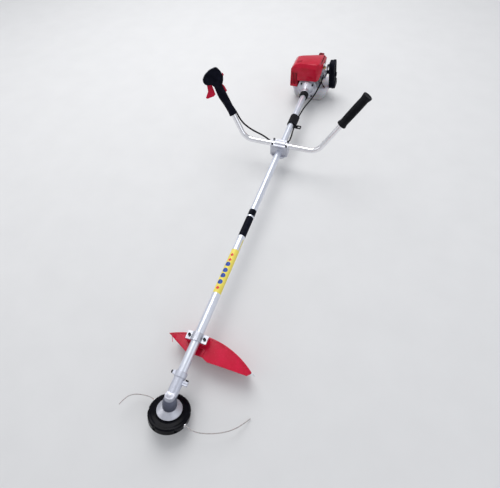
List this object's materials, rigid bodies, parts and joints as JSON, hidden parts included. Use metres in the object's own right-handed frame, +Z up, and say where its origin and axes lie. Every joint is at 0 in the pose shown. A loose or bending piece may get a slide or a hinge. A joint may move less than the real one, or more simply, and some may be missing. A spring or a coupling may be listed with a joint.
{
  "type": "brush cutter",
  "caption": "Long-tube petrol brush cutter with a U-shaped handlebar, throttle grip, line head, debris guard and rear four-stroke engine.",
  "frame": {"origin": "centre line of the tube on the ground, at the middle of the fuel tank's flat base", "axes": "+Y along the tube from the line head to the engine, +Z up, +X towards the air cleaner"},
  "size_m": [0.6686, 1.8235, 0.3872],
  "materials": {
    "tube_aluminium": "satin anodised",
    "cast_aluminium": "cast, satin",
    "bright_steel": "polished",
    "steel": "machined",
    "black_steel": "black oxide",
    "red_plastic": "gloss moulded",
    "black_plastic": "fine grain moulded",
    "gloss_black_plastic": "gloss moulded",
    "black_rubber": "matte",
    "tank_plastic": "translucent blow moulded",
    "primer_plastic": "clear soft plastic",
    "filter_foam": "open foam",
    "line_nylon": "nylon",
    "bronze": "sintered",
    "dark_iron": "cast"
  },
  "bodies": {
    "frame": {"main_tube": "tube_aluminium", "drive_shaft_bushes": "black_rubber", "tube_collar": "black_rubber", "gear_case": "cast_aluminium", "gear_case_bearings": "steel", "debris_guard": "red_plastic", "guard_bracket": "cast_aluminium", "line_cutter_blade": "steel", "handlebar": "bright_steel", "handle_clamp_base": "cast_aluminium", "handle_clamp_mid": "cast_aluminium", "handle_clamp_cap": "cast_aluminium", "right_grip": "black_rubber", "throttle_housing_front": "black_plastic", "throttle_housing_rear": "black_plastic", "throttle_cable": "black_rubber", "hanger_band": "black_rubber", "socket_screws": "black_steel", "clutch_housing": "cast_aluminium", "fan_housing": "cast_aluminium", "crankcase": "cast_aluminium", "cylinder": "cast_aluminium", "piston": "cast_aluminium", "connecting_rod": "steel", "spark_plug": "black_rubber", "engine_cover": "red_plastic", "recoil_housing": "black_plastic", "starter_rope": "black_rubber", "muffler": "steel", "muffler_cover": "red_plastic", "carburettor": "cast_aluminium", "air_cleaner_case": "black_plastic", "air_filter": "filter_foam", "fuel_tank": "tank_plastic"},
    "line_head": {"output_gear": "steel", "output_shaft": "steel", "holder_flange": "cast_aluminium", "line_head_housing": "gloss_black_plastic", "line_head_cover": "gloss_black_plastic", "line_spool": "black_plastic", "line_eyelets": "bright_steel", "trimmer_line_right": "line_nylon", "trimmer_line_left": "line_nylon"},
    "tap_knob": {"tap_knob": "black_plastic"},
    "drive_line": {"drive_shaft": "steel", "pinion_gear": "steel", "clutch_drum": "steel"},
    "crank_train": {"crankshaft": "steel", "flywheel": "cast_aluminium", "clutch_shoes": "dark_iron"},
    "trigger": {"throttle_trigger": "red_plastic"},
    "lockout": {"lockout_lever": "red_plastic"},
    "switch": {"stop_switch": "red_plastic"},
    "throttle_valve": {"throttle_valve_lever": "bronze"},
    "choke": {"choke_lever": "black_plastic"},
    "primer": {"primer_bulb": "primer_plastic"},
    "fuel_cap": {"fuel_cap": "black_plastic"},
    "starter": {"starter_handle": "red_plastic"},
    "pulley": {"starter_pulley": "black_plastic"},
    "cleaner_cover": {"air_cleaner_cover": "black_plastic"}
  },
  "joints": [
    {"name": "output_spin", "type": "hinge", "parent": "frame", "child": "line_head", "pos_m": [0, -1.645, 0.0865], "axis": [0, 0.5, 0.866], "continuous": true},
    {"name": "drive_spin", "type": "hinge", "parent": "frame", "child": "drive_line", "pos_m": [0, -1.645, 0.0865], "axis": [0, 1, 0], "continuous": true},
    {"name": "crank_spin", "type": "hinge", "parent": "frame", "child": "crank_train", "pos_m": [0, -0.045, 0.0865], "axis": [0, 1, 0], "continuous": true},
    {"name": "tap_knob_press", "type": "slide", "parent": "line_head", "child": "tap_knob", "axis": [0, 0.5, 0.866], "range_m": [0, 0.008], "stiffness_N_per_m": 600, "springref_m": -0.003},
    {"name": "trigger_squeeze", "type": "hinge", "parent": "frame", "child": "trigger", "pos_m": [-0.32414, -0.54541, 0.34825], "axis": [0.4744, -0.7623, 0.4402], "range_deg": [0, 16], "stiffness_Nm_per_rad": 0.6, "springref_deg": -14.32},
    {"name": "throttle_valve_turn", "type": "hinge", "parent": "frame", "child": "throttle_valve", "pos_m": [0.064, -0.007, 0.1645], "axis": [0, 0, 1], "range_deg": [0, 60]},
    {"name": "lockout_press", "type": "hinge", "parent": "frame", "child": "lockout", "pos_m": [-0.27275, -0.52878, 0.32165], "axis": [-0.4744, 0.7623, -0.4402], "range_deg": [0, 8], "stiffness_Nm_per_rad": 0.3, "springref_deg": -11.46},
    {"name": "stop_switch_slide", "type": "slide", "parent": "frame", "child": "switch", "axis": [-0.495, 0.1825, 0.8495], "range_m": [0, 0.006]},
    {"name": "choke_turn", "type": "hinge", "parent": "frame", "child": "choke", "pos_m": [0.082, -0.001, 0.1725], "axis": [-1, 0, 0], "range_deg": [0, 50]},
    {"name": "primer_press", "type": "slide", "parent": "frame", "child": "primer", "axis": [0, 1, 0], "range_m": [0, 0.004], "stiffness_N_per_m": 300, "springref_m": -0.002},
    {"name": "fuel_cap_turn", "type": "hinge", "parent": "frame", "child": "fuel_cap", "pos_m": [-0.06, 0.087, 0.0305], "axis": [0, 1, 0], "range_deg": [0, 360]},
    {"name": "starter_pull", "type": "slide", "parent": "frame", "child": "starter", "axis": [0, 0, 1], "range_m": [0, 0.45], "stiffness_N_per_m": 12, "springref_m": -0.15, "deforming": ["starter_rope"]},
    {"name": "pulley_spin", "type": "hinge", "parent": "frame", "child": "pulley", "pos_m": [0, 0.073, 0.0865], "axis": [0, 1, 0], "range_deg": [0, 1180]},
    {"name": "cleaner_cover_off", "type": "slide", "parent": "frame", "child": "cleaner_cover", "axis": [0.9903, 0, 0.1392], "range_m": [0, 0.04]}
  ],
  "couplings": [
    {"joint": "drive_spin", "follows": "output_spin", "ratio": 1.3333},
    {"joint": "throttle_valve_turn", "follows": "trigger_squeeze", "ratio": 3.7},
    {"joint": "pulley_spin", "follows": "starter_pull", "rad_per_m": 45.455}
  ]
}
